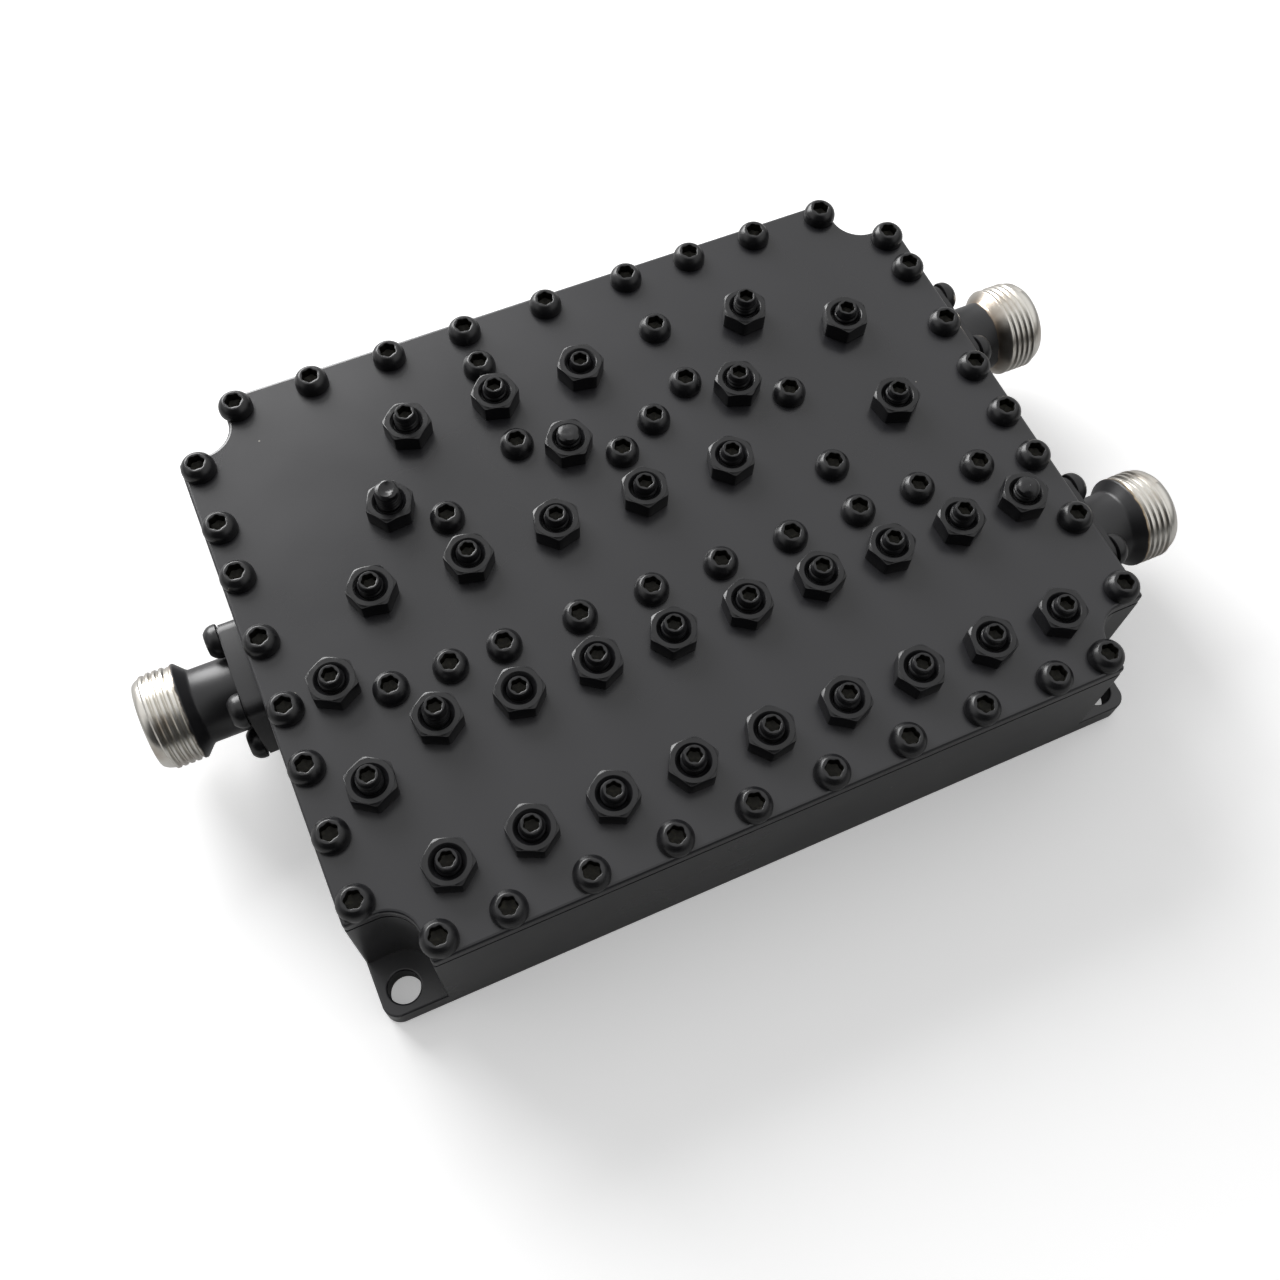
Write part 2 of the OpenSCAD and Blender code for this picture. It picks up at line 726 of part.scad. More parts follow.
housing();
cover();
cover_screws(back_screws);  // cover_screws_back
cover_screws(front_screws);  // cover_screws_front
cover_screws(left_screws);  // cover_screws_left
cover_screws(right_screws);  // cover_screws_right
cover_screws(septum_screws);  // cover_screws_septum
cover_screws(web_screws);  // cover_screws_webs
tuners(cavities, cavity_tip, cavity_extra);  // cavity_tuners
tuners(window_points, window_tip, window_extra);  // window_tuners
tuners(rod_points, rod_tip, rod_extra);  // rod_tuners
tuners(between_points, between_tip, between_extra);  // between_tuners
tuners(port_points, line_tip, port_extra);  // port_tuners
locknuts(cavities);  // cavity_locknuts
locknuts(window_points);  // window_locknuts
locknuts(rod_points);  // rod_locknuts
locknuts(between_points);  // between_locknuts
locknuts(port_points);  // port_locknuts
at_common_jack() jack_body();  // common_jack_body
at_rear_jack() jack_body();  // rear_jack_body
at_front_jack() jack_body();  // front_jack_body
at_common_jack() jack_insulator();  // common_jack_insulator
at_rear_jack() jack_insulator();  // rear_jack_insulator
at_front_jack() jack_insulator();  // front_jack_insulator
at_common_jack() jack_contact(half_l - line_x);  // common_jack_contact
at_rear_jack() jack_contact(half_l - line_x);  // rear_jack_contact
at_front_jack() jack_contact(half_l - front_hub_x);  // front_jack_contact
at_common_jack() flange_screws();  // common_flange_screws
at_rear_jack() flange_screws();  // rear_flange_screws
at_front_jack() flange_screws();  // front_flange_screws
cavity_posts();
post_screws();
filter_rods();
foot_screws();
common_line();
rear_line();
front_line();
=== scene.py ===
# %% [markdown]
# # A cavity diplexer in black paint
# The object is a flat milled metal box, about as large as a hand. It splits one radio line into two
# bands. Seven round cavities and nine lying rods sit inside, and the cover carries the tuning screws.
# Everything was sprayed black after tuning, apart from the nickel threads of the three jacks.
# The solid model gives every place and size. This script gives the surfaces, the threads, the sockets
# of the screws and the soft look of paint, and it takes each place from the solids themselves.

# %% Load the solids
import math
import random

import bmesh
import bpy
from mathutils import Matrix, Vector


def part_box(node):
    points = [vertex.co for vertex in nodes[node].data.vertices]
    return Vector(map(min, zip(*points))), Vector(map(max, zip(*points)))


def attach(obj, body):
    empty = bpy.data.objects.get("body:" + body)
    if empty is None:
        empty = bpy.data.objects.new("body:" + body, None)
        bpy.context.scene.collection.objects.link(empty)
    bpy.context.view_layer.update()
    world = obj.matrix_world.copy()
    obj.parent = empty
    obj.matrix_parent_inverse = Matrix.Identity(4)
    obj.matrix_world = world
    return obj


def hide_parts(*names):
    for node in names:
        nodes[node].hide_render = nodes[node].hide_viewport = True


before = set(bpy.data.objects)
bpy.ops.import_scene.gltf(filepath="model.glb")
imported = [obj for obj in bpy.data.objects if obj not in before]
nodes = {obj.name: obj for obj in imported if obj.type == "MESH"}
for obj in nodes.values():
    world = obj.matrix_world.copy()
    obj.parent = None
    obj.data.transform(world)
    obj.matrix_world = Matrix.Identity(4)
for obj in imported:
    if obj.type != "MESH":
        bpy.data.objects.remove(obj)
MM = 0.001


def in_mm(values, digits=2):
    return [round(value / MM, digits) for value in values]


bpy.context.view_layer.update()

# %% [markdown]
# ## The camera comes first
# The photograph looks down on the box from the front left, a little turned about the line of sight.
# A camera can be aimed with a track constraint, but a hand-held tilt is easier to state with three
# angles. The place and the angles were found by matching the rows of screws to the photograph. The
# plain Standard view keeps white paper white and black paint as dark as its colour says.

# %% Camera
PHOTO_PX = 1280
FOCAL_PX = 1354.7
SENSOR_MM = 36
CAMERA_PLACE = Vector((-51.6, -96.9, 211.7)) * MM
HEADING = math.radians(-27.39)
ELEVATION = math.radians(64.07)
ROLL = math.radians(3.76)


def camera_matrix(place, heading, elevation, roll):
    """A camera that looks at the object from below-left, tilted by roll."""
    right = Vector((math.cos(heading), math.sin(heading), 0))
    level = Vector((-math.sin(heading), math.cos(heading), 0))
    forward = math.cos(elevation) * level - math.sin(elevation) * Vector((0, 0, 1))
    up = right.cross(forward)
    tilted_right = math.cos(roll) * right + math.sin(roll) * up
    tilted_up = math.cos(roll) * up - math.sin(roll) * right
    turn = Matrix((tilted_right, tilted_up, -forward)).transposed()
    return Matrix.Translation(place) @ turn.to_4x4()


camera_data = bpy.data.cameras.new("camera")
camera_data.sensor_fit = "HORIZONTAL"
camera_data.sensor_width = SENSOR_MM
camera_data.lens = SENSOR_MM * FOCAL_PX / PHOTO_PX
camera_data.clip_start = 10 * MM
camera = bpy.data.objects.new("camera", camera_data)
camera.matrix_world = camera_matrix(CAMERA_PLACE, HEADING, ELEVATION, ROLL)
bpy.context.scene.collection.objects.link(camera)
bpy.context.scene.camera = camera
bpy.context.scene.view_settings.view_transform = "Standard"
print("lens in mm:", round(camera_data.lens, 2))

# %% [markdown]
# ## Helpers for meshes
# Screws, nuts and jacks are all turned on a lathe first and then milled or broached. A stack of rings
# follows that: each ring has a radius for every angle and a height, and neighbouring rings are joined
# by quads. A round ring is a constant, a hexagon or a six-lobed socket is a formula of the angle.

# %% Rings


def add_rings(mesh, rings, place, segments, cap_first=False, cap_last=False, closed=False):
    """Joins rings of (radius, height), each a number or a function of the angle."""
    grid = []
    for radius, height in rings:
        row = []
        for angle in [2 * math.pi * i / segments for i in range(segments)]:
            r = radius(angle) if callable(radius) else radius
            z = height(angle) if callable(height) else height
            point = Vector((r * math.cos(angle), r * math.sin(angle), z))
            row.append(mesh.verts.new(place @ point))
        grid.append(row)
    pairs = list(zip(grid, grid[1:]))
    if closed:
        pairs.append((grid[-1], grid[0]))
    bands = []
    for low, high in pairs:
        band = []
        for i in range(segments):
            j = (i + 1) % segments
            band.append(mesh.faces.new((low[i], low[j], high[j], high[i])))
        bands.append(band)
    if cap_first:
        mesh.faces.new(list(reversed(grid[0])))
    if cap_last:
        bands.append([mesh.faces.new(grid[-1])])
    return bands


trial = bmesh.new()
add_rings(trial, [(1, 0), (1, 1)], Matrix(), 6, cap_first=True, cap_last=True)
print("a trial prism with six sides has", len(trial.faces), "faces")
trial.free()

# %% [markdown]
# ## A thread that is really a helix
# A thread could be faked with a bump, but then its outline stays smooth, and here the outline of the
# jacks stands against white. So the ridge is swept along a true helix around a plain core. At both
# ends the ridge sinks into the core, as a cut thread does where the tool enters and leaves.

# %% Helical ridge
# Parts of the ridge's height and width: how high the flank's knee is, how deep the foot sinks.
KNEE_HEIGHT = 0.72
KNEE_WIDTH = 0.8
FOOT_SINK = 0.1


def add_ridge(mesh, place, core, crest, pitch, low, high, steps=48, base=0.94, top=0.2, fade=0.35):
    """Winds a ridge of the given pitch around a core, from one height to another."""
    turns = (high - low) / pitch - base
    rows = []
    for i in range(int(turns * steps) + 1):
        turn = i / steps
        middle = low + (turn + base / 2) * pitch
        grown = max(0.0, min(1.0, turn / fade, (turns - turn) / fade))
        tip = core + (crest - core) * grown
        knee = core + KNEE_HEIGHT * (crest - core) * grown
        foot = core - FOOT_SINK * (crest - core)
        half = (base + top) / 4 * KNEE_WIDTH
        angle = 2 * math.pi * turn
        section = [
            (foot, -base / 2), (knee, -half), (tip, -top / 2),
            (tip, top / 2), (knee, half), (foot, base / 2)
        ]
        row = []
        for r, z in section:
            point = Vector((r * math.cos(angle), r * math.sin(angle), middle + z * pitch))
            row.append(mesh.verts.new(place @ point))
        rows.append(row)
    for first, second in zip(rows, rows[1:]):
        for k in range(len(first)):
            j = (k + 1) % len(first)
            mesh.faces.new((first[k], first[j], second[j], second[k]))
    mesh.faces.new(list(reversed(rows[0])))
    mesh.faces.new(rows[-1])


trial = bmesh.new()
add_ridge(trial, Matrix(), core=1, crest=1.1, pitch=0.2, low=0, high=1)
print("a trial ridge of five pitches has", len(trial.faces), "faces")
trial.free()

# %% [markdown]
# ## From a bmesh to a finished piece
# Every piece of this scene ends in the same few steps: outward normals, smooth shading, sharp edges
# where the metal has them, and a ride on the one body of the part. Auto smooth by angle keeps turned
# faces round and leaves the edges of sockets crisp.

# %% Finished piece


def smooth_object(name, mesh, sharp_angle):
    """Turns a bmesh into an object with smooth faces and sharp edges where the metal has them."""
    bmesh.ops.recalc_face_normals(mesh, faces=mesh.faces)
    data = bpy.data.meshes.new(name)
    mesh.to_mesh(data)
    mesh.free()
    data.shade_smooth()
    data.set_sharp_from_angle(angle=math.radians(sharp_angle))
    piece = bpy.data.objects.new(name, data)
    bpy.context.scene.collection.objects.link(piece)
    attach(piece, "root")
    return piece


# %% [markdown]
# ## Where the screws are
# The solid model holds each kind of fastener as a group of separate solids. The box around each solid
# gives a screw's axis, so no place is typed in twice. Solids of one group never touch, so the
# connected parts of the mesh are the single screws.

# %% Places of the fasteners
WELD = 0.002 * MM
COVER_SCREW_LINES = ["back", "front", "left", "right", "septum", "webs"]
COVER_SCREW_NODES = ["cover_screws_" + line for line in COVER_SCREW_LINES]
TUNER_GROUPS = ["cavity", "window", "rod", "between", "port"]
JACKS = ["common", "rear", "front"]


def single_solids(node):
    """The boxes of a group's separate solids, from left to right and front to back."""
    mesh = bmesh.new()
    mesh.from_mesh(nodes[node].data)
    bmesh.ops.remove_doubles(mesh, verts=mesh.verts, dist=WELD)
    mesh.verts.ensure_lookup_table()
    seen = set()
    boxes = []
    for start in mesh.verts:
        if start.index in seen:
            continue
        seen.add(start.index)
        stack, part = [start], []
        while stack:
            vert = stack.pop()
            part.append(vert.co.copy())
            for edge in vert.link_edges:
                other = edge.other_vert(vert)
                if other.index not in seen:
                    seen.add(other.index)
                    stack.append(other)
        low = Vector([min(co[k] for co in part) for k in range(3)])
        high = Vector([max(co[k] for co in part) for k in range(3)])
        boxes.append((low, high))
    mesh.free()
    return sorted(boxes, key=lambda b: (round(b[0].x, 4), round(b[0].y, 4)))


housing_low, housing_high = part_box("housing")
cover_low, cover_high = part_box("cover")
COVER_TOP = cover_high.z
print("cover top at", round(COVER_TOP / MM, 2), "mm")
for group in COVER_SCREW_NODES + [group + "_locknuts" for group in TUNER_GROUPS]:
    print(group, len(single_solids(group)))

# %% [markdown]
# ## Placing a turned piece
# Profiles are written in millimetres with their own axis upwards. One matrix moves, turns and scales
# such a profile to its place. Screws stand on the cover, and jacks and their screws lie along X.

# %% Matrices


def standing(x, y, z, turn=0.0):
    """Millimetre profile, upright at a point given in metres."""
    turned = Matrix.Translation((x, y, z)) @ Matrix.Rotation(turn, 4, "Z")
    return turned @ Matrix.Scale(MM, 4)


def lying(x, y, z, side, turn=0.0):
    """Millimetre profile with its axis along +X or -X."""
    lay = Matrix.Rotation(side * math.pi / 2, 4, "Y")
    turned = Matrix.Translation((x, y, z)) @ lay @ Matrix.Rotation(turn, 4, "Z")
    return turned @ Matrix.Scale(MM, 4)


print("one unit of a profile is", round(standing(0, 0, 0).median_scale, 6), "m")

# %% [markdown]
# ## Helpers for materials
# Colours are picked as sRGB hex values, because that is what a colour picker shows. Blender works with
# linear light, so one function converts them. A second function adds any node with its settings and
# links in one line, which keeps each material short enough to read as a recipe.

# %% Colours and nodes
# The Mix node has several sockets named A, B and Result. For colours they are numbers 6, 7 and 2,
# and for plain numbers 2, 3 and 0.
MIX_A, MIX_B, MIX_RESULT = 6, 7, 2
NUMBER_A, NUMBER_B, NUMBER_RESULT = 2, 3, 0


def linear(hex_colour):
    """An sRGB hex colour as linear red, green, blue and alpha."""
    values = [int(hex_colour[i:i + 2], 16) / 255 for i in (1, 3, 5)]
    return [v / 12.92 if v <= 0.04045 else ((v + 0.055) / 1.055) ** 2.4 for v in values] + [1]


def feed(tree, node, inputs=None, links=None):
    """Sets inputs of a node that exists, and links outputs into its inputs."""
    for name, value in (inputs or {}).items():
        node.inputs[name].default_value = value
    for name, socket in (links or {}).items():
        tree.links.new(socket, node.inputs[name])


def add(tree, kind, settings=None, inputs=None, links=None):
    """Adds a node, sets its properties and inputs, and links outputs into its inputs."""
    node = tree.nodes.new(kind)
    for name, value in (settings or {}).items():
        setattr(node, name, value)
    feed(tree, node, inputs, links)
    return node


def new_material(name):
    """An empty material with its output, its shader and the object's own coordinates."""
    material = bpy.data.materials.new(name)
    material.use_nodes = True
    tree = material.node_tree
    tree.nodes.clear()
    shader = add(tree, "ShaderNodeBsdfPrincipled")
    add(tree, "ShaderNodeOutputMaterial", links={"Surface": shader.outputs["BSDF"]})
    coords = add(tree, "ShaderNodeTexCoord").outputs["Object"]
    return material, tree, shader, coords


def per_mm(size_mm):
    """Texture scale at which one cell of a pattern is this many millimetres."""
    return 1 / (size_mm * MM)


def wear(piece, slot, *materials):
    """Gives a piece or a solid its materials. The slot argument is not used."""
    if piece.name in nodes:
        piece.data.materials.clear()
    for material in materials:
        piece.data.materials.append(material)


print("linear value of mid grey:", round(linear("#808080")[0], 3))

# %% [markdown]
# ## Satin black spray paint
# The box, cover, screws and nuts were sprayed together with satin black paint. Spray dries with a fine
# orange peel, and it is not pure black: under soft light it looks dark grey, because its skin mirrors
# about four percent of the light. A noise in the bump gives the peel, a second, wide noise varies the
# gloss as overlapping passes of the gun do, and tiny specks are dust caught in the wet paint. The real
# peel is finer than a pixel of the render, so it is drawn at three quarters of a millimetre.

# %% Paint material
PEEL_MM = 0.75
PASS_MM = 34
SPECK_MM = 4.5
# Only cells whose random value is above this hold a speck.
SPECK_RARITY = 0.8
# A noise stays mostly between 0.3 and 0.7, so each Map Range below stretches that part of it.


def paint(name, colour, dust_colour, roughness, ior, speck_size=0.0, peel_depth=0.012):
    """Satin spray paint with orange peel, uneven gloss and a few dust specks."""
    material, tree, shader, coords = new_material(name)
    wide = add(tree, "ShaderNodeTexNoise", inputs={"Scale": per_mm(PASS_MM), "Detail": 3},
               links={"Vector": coords})
    fine = add(tree, "ShaderNodeTexNoise", inputs={"Scale": per_mm(PEEL_MM), "Detail": 2},
               links={"Vector": coords})
    cells = add(tree, "ShaderNodeTexVoronoi", inputs={"Scale": per_mm(SPECK_MM)},
                links={"Vector": coords})
    speck = add(tree, "ShaderNodeMapRange",
                inputs={"From Min": speck_size, "From Max": speck_size * 0.4},
                links={"Value": cells.outputs["Distance"]})
    rare = add(tree, "ShaderNodeMath", {"operation": "GREATER_THAN"}, {1: SPECK_RARITY},
               {0: cells.outputs["Color"]})
    mask = add(tree, "ShaderNodeMath", {"operation": "MULTIPLY"},
               links={0: speck.outputs["Result"], 1: rare.outputs["Value"]})
    passes = add(tree, "ShaderNodeMapRange",
                 inputs={"From Min": 0.35, "From Max": 0.65, "To Min": 0.92, "To Max": 1.08},
                 links={"Value": wide.outputs["Fac"]})
    tone = add(tree, "ShaderNodeMix", {"data_type": "RGBA", "blend_type": "MULTIPLY"},
               {0: 1, MIX_A: linear(colour)}, {MIX_B: passes.outputs["Result"]})
    dusty = add(tree, "ShaderNodeMix", {"data_type": "RGBA"}, {MIX_B: linear(dust_colour)},
                {0: mask.outputs["Value"], MIX_A: tone.outputs[MIX_RESULT]})
    gloss = add(tree, "ShaderNodeMapRange",
                inputs={"From Min": 0.3, "From Max": 0.7,
                        "To Min": roughness - 0.04, "To Max": roughness + 0.05},
                links={"Value": wide.outputs["Fac"]})
    bump = add(tree, "ShaderNodeBump", inputs={"Strength": 0.5, "Distance": peel_depth * MM},
               links={"Height": fine.outputs["Fac"]})
    feed(tree, shader, {"IOR": ior},
         {"Base Color": dusty.outputs[MIX_RESULT], "Roughness": gloss.outputs["Result"],
          "Normal": bump.outputs["Normal"]})
    return material


plate_paint = paint("satin_black_paint_on_plate", "#232326", "#b8b4aa", 0.29, 1.58,
                    speck_size=0.05)
screw_paint = paint("satin_black_paint_on_screws", "#18181a", "#6b675f", 0.3, 1.48,
                    peel_depth=0.03)
print("paint peel in mm:", PEEL_MM)

# %% [markdown]
# ## The dark sockets
# The spray came from above at a slant, so it missed most of each socket. The walls there show the dark
# oxide that the screws were delivered with, an oily olive black. The colour is darker than the oxide
# alone, as painted shade for the deep hollow. It is thin and rough and a little metallic, so it is
# drawn as a dull metal with lighter rubbed spots where the key has turned.

# %% Socket material
OXIDE_MM = 0.6


def make_oxide_and_socket_shade():
    """Olive black oxide on steel with rubbed spots, darkened as painted shade for the socket's hollow.
    """
    material, tree, shader, coords = new_material("black_oxide_and_painted_socket_shade")
    grain = add(tree, "ShaderNodeTexNoise", inputs={"Scale": per_mm(OXIDE_MM), "Detail": 3},
                links={"Vector": coords})
    rubbed = add(tree, "ShaderNodeMapRange",
                 inputs={"From Min": 0.5, "From Max": 0.75, "To Max": 0.6},
                 links={"Value": grain.outputs["Fac"]})
    # The olive black is darker than oxide alone: it is painted shade for the hollow of the socket.
    colour = add(tree, "ShaderNodeMix", {"data_type": "RGBA"},
                 {MIX_A: linear("#1c1b16"), MIX_B: linear("#37352a")},
                 {0: rubbed.outputs["Result"]})
    bump = add(tree, "ShaderNodeBump", inputs={"Strength": 0.4, "Distance": 0.02 * MM},
               links={"Height": grain.outputs["Fac"]})
    feed(tree, shader, {"Metallic": 0.6, "Roughness": 0.5},
         {"Base Color": colour.outputs[MIX_RESULT], "Normal": bump.outputs["Normal"]})
    return material


socket_oxide_and_shade = make_oxide_and_socket_shade()
print("oxide grain in mm:", OXIDE_MM)

# %% [markdown]
# ## The housing and its cover
# Both were milled from aluminium plate, and the cutter's edges were broken with a file before the
# spraying. Their solids already have the right shape, so each piece starts as a copy of its solid. The
# copy's triangles are merged into flat faces, because a bevel modifier needs clean edges. Only the
# outer edges get the bevel, which draws a thin line of light or shade along each. The cover's are
# broken more. The housing's top rim stays sharp, so that a narrow dark groove is left under the cover.

# %% Broken edges
EDGE_BREAK_MM = {"housing": 0.3, "cover": 0.55}
EDGE_STEPS = 3
NOTCH_MM = 9.5
NEAR_MM = 0.05
SLIVER = 0.001 * MM
FLAT_WITHIN = math.radians(0.5)
CORNER_FROM = math.radians(40)
LARGEST_CURVED_MM2 = 40
PLATE_SHARP = 30


def on_outline(point, low, high):
    """True on the rims of the side faces and anywhere in the four corner notches."""
    inward = [min(point[k] - low[k], high[k] - point[k]) / MM for k in range(3)]
    in_notch = max(inward[0], inward[1]) < NOTCH_MM + 0.1
    on_rim = min(inward[0], inward[1]) < NEAR_MM and inward[2] < NEAR_MM
    return in_notch or on_rim


def filed_copy(node, low, high):
    """The node's own form with merged flat faces and marked outer edges."""
    mesh = bmesh.new()
    mesh.from_mesh(nodes[node].data)
    bmesh.ops.remove_doubles(mesh, verts=mesh.verts, dist=WELD)
    for _ in range(2):
        bmesh.ops.dissolve_degenerate(mesh, dist=SLIVER, edges=mesh.edges)
    bmesh.ops.dissolve_limit(mesh, angle_limit=FLAT_WITHIN, verts=mesh.verts, edges=mesh.edges)
    weight = mesh.edges.layers.float.new("bevel_weight_edge")
    marked = 0
    for edge in mesh.edges:
        sharp = edge.is_manifold and edge.is_convex and edge.calc_face_angle(0) > CORNER_FROM
        lowest = min(vert.co.z for vert in edge.verts)
        under_cover = node == "housing" and lowest > high.z - NEAR_MM * MM
        outside = all(on_outline(vert.co, low, high) for vert in edge.verts)
        if sharp and outside and not under_cover:
            edge[weight] = 1.0
            marked += 1
    print(node, "edges to break:", marked, "of", len(mesh.edges))
    return mesh


plates = {"housing": (housing_low, housing_high), "cover": (cover_low, cover_high)}
for node, (low, high) in plates.items():
    piece = smooth_object("painted_" + node, filed_copy(node, low, high), PLATE_SHARP)
    for face in piece.data.polygons:
        small = face.area < LARGEST_CURVED_MM2 * MM * MM
        face.use_smooth = len(face.vertices) == 4 and small
    edges = piece.modifiers.new("broken_edges", "BEVEL")
    edges.width = EDGE_BREAK_MM[node] * MM
    edges.segments = EDGE_STEPS
    edges.limit_method = "WEIGHT"
    edges.use_clamp_overlap = False
    wear(piece, "black_paint", plate_paint)
    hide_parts(node)

# %% [markdown]
# ## Cover screws
# The cover has to touch the housing everywhere, or the cavities leak into each other, so 54 small
# screws hold it down. They have a round pan head with a flat ring around a six-lobed socket. The
# profile follows the solid's head, with the corners rounded as the paint leaves them. A lobed socket
# is a circle whose radius swings six times on its way round.

# %% Pan head screws
SCREW_SEGMENTS = 48
COVER_SHANK = 8.0
HEAD_SHARP = 38
SOCKET_BANDS = 3
SOCKET_SEED = 5


def lobes(mean, swing):
    """Radius of a six-lobed outline as a function of the angle."""
    return lambda angle: mean + swing * math.cos(6 * angle)


def oxide_and_shade_inside(bands):
    """Gives the walls and the floor of a socket the second material, oxide darkened as painted shade.
    """
    for band in bands[-SOCKET_BANDS:]:
        for face in band:
            face.material_index = 1


def add_pan_screw(mesh, place, shank):
    """A domed head with a lobed socket, on a plain shank."""
    rings = [
        (1.35, -shank), (1.5, -shank + 0.2), (1.5, -0.02), (2.6, 0.0), (2.74, 0.12), (2.75, 0.45),
        (2.73, 0.85), (2.66, 1.15), (2.54, 1.45), (2.38, 1.7), (2.18, 1.93), (1.98, 2.12),
        (1.85, 2.22), (1.76, 2.28), (1.67, 2.3), (lobes(1.46, 0.07), 2.3),
        (lobes(1.35, 0.09), 2.25), (lobes(1.28, 0.11), 2.1), (lobes(1.25, 0.12), 0.75), (0.4, 0.45)
    ]
    oxide_and_shade_inside(add_rings(mesh, rings, place, SCREW_SEGMENTS, cap_first=True, cap_last=True))


turns = random.Random(SOCKET_SEED)
for node in COVER_SCREW_NODES:
    mesh = bmesh.new()
    for low, high in single_solids(node):
        x, y = (low.x + high.x) / 2, (low.y + high.y) / 2
        place = standing(x, y, COVER_TOP, turns.uniform(0, math.pi))
        add_pan_screw(mesh, place, COVER_SHANK)
    piece = smooth_object(node + "_heads", mesh, HEAD_SHARP)
    wear(piece, "painted_screw", screw_paint, socket_oxide_and_shade)
    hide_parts(node)
    print(node, len(piece.data.polygons), "faces")

# %% [markdown]
# ## Lock nuts
# Each tuning screw is locked by a hexagon nut. Its top corners are chamfered on the lathe, and the
# thread has a wide countersink that shows as a dark ring around the screw. The hexagon is a formula of
# the angle, and the chamfer lowers the top edge where the radius is larger than half the key size. A
# nut stops where it is tight, so each is turned its own way. The turns were read off the photograph to
# about five degrees, in the order of the solids, from left to right and front to back.

# %% Hexagon nuts
NUT_SEGMENTS = 72
NUT_H = 3.2
KEY_HALF = 3.5
CORNER_LIMIT = 3.96
TOP_LAND = 3.44
CHAMFER = math.radians(30)
NUT_SHARP = 26
NUT_TURNS = {
    "cavity": [20, 10, 45, 20, 45, 35, 10],
    "window": [35, 15, 15, 20, 45, 10],
    "rod": [10, 5, 5, 30, 40, 55, 30, 50, 0],
    "between": [5, 15, 55, 35, 55, 55, 20, 0],
    "port": [0, 55, 40, 20],
}


def hexagon(inset=0.0):
    """Radius of a hexagon with slightly rounded corners."""
    def radius(angle):
        part = angle % (math.pi / 3) - math.pi / 6
        return min(KEY_HALF / math.cos(part), CORNER_LIMIT) - inset
    return radius


def chamfered(drop=0.0):
    """Height of the top edge, lower at the corners."""
    side = hexagon()
    return lambda angle: NUT_H - drop - max(0.0, side(angle) - KEY_HALF) * math.tan(CHAMFER)


def top_land(angle):
    """Radius of the flat ring on top, a hexagon that the lathe has cut round."""
    return min(hexagon(0.16)(angle), TOP_LAND)


def add_nut(mesh, place):
    """A nut as one closed skin, from the thread's lower end around the outside and back in."""
    rings = [
        (2.05, 0.0), (hexagon(0.12), 0.0), (hexagon(), 0.12), (hexagon(), chamfered(0.12)),
        (hexagon(0.04), chamfered(0.03)), (hexagon(0.14), chamfered(0.0)), (top_land, NUT_H),
        (2.72, NUT_H), (2.62, NUT_H - 0.06), (2.5, NUT_H - 0.2), (2.08, NUT_H - 0.75),
        (2.05, NUT_H - 0.9)
    ]
    add_rings(mesh, rings, place, NUT_SEGMENTS, closed=True)


for group in TUNER_GROUPS:
    mesh = bmesh.new()
    solids = single_solids(group + "_locknuts")
    for (low, high), turn in zip(solids, NUT_TURNS[group], strict=True):
        x, y = (low.x + high.x) / 2, (low.y + high.y) / 2
        add_nut(mesh, standing(x, y, COVER_TOP, math.radians(turn - 30)))
    piece = smooth_object(group + "_nuts", mesh, NUT_SHARP)
    wear(piece, "painted_brass", screw_paint)
    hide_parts(group + "_locknuts")
    print(group, "nuts", len(piece.data.polygons), "faces")

# %% [markdown]
# ## Tuning screws
# A tuning screw is a threaded rod with a tapered end and a small lobed socket. The part below the
# cover is plain here, because nobody sees it. Above the nut the thread is a real helix, half filled by
# the paint. Three of the screws were sealed with a lump of paint that fills the socket. Each lump dried
# in its own shape: one sank in the middle, and two slid to one side, so their rings are tilted.

# %% Threaded rods
TUNER_CORE = 1.78
TUNER_CREST = 1.97
TUNER_PITCH = 0.7
TUNER_STEPS = 30
TUNER_SHARP = 30
NUT_TOP = COVER_TOP / MM + NUT_H
# Where the sealed screws stand, how deep the lump sank in the middle, how far it tilts, which way,
# and how far its top slid against that way.
SEALED = {
    (-37.1, 19.3): (0.45, 0.1, 2.4, 0.0),
    (-6.7, 19.3): (0.0, 0.2, 4.2, 0.1),
    (56.4, -18.5): (0.0, 0.25, 5.2, 0.45),
}


def wavy(mean, swing, waves, phase, slid=0.0, way=0.0):
    """Radius of a lumpy round outline that may have slid against the given way."""
    return lambda a: mean + swing * math.cos(waves * a + phase) - slid * math.cos(a - way)


def tilted(height, drop, way):
    """Height of a ring that leans to one side, never above the given height."""
    return lambda angle: height - drop * (1 - math.cos(angle - way)) / 2


def lump_rings(high, sunk, lean, way, slid):
    """A lump of sealing paint on top of a rod, up to the given height."""
    return [
        (wavy(1.88, 0.05, 3, way), tilted(high - 0.8, lean, way)),
        (wavy(1.84 - slid * 0.4, 0.07, 4, way, slid * 0.3, way), tilted(high - 0.42, lean, way)),
        (wavy(1.66 - slid * 0.8, 0.08, 3, way + 1, slid * 0.6, way),
         tilted(high - 0.16, lean, way)),
        (wavy(1.3 - slid, 0.1, 2, way + 2, slid * 0.9, way), tilted(high - 0.02, lean, way)),
        (wavy(0.85 - slid * 0.6, 0.12, 3, way, slid * 0.9, way),
         tilted(high - 0.02 - sunk * 0.6, lean * 0.6, way)),
        (0.4 - slid * 0.5, high - 0.03 - sunk - lean * 0.4)
    ]


def socket_rings(high):
    """A tapered end with a lobed socket, up to the given height."""
    return [
        (1.74, high - 0.75), (1.64, high - 0.3), (1.57, high - 0.1), (1.49, high - 0.01),
        (1.42, high), (lobes(1.27, 0.06), high), (lobes(1.16, 0.08), high - 0.05),
        (lobes(1.11, 0.1), high - 0.2), (lobes(1.09, 0.1), high - 1.5), (0.3, high - 1.75)
    ]


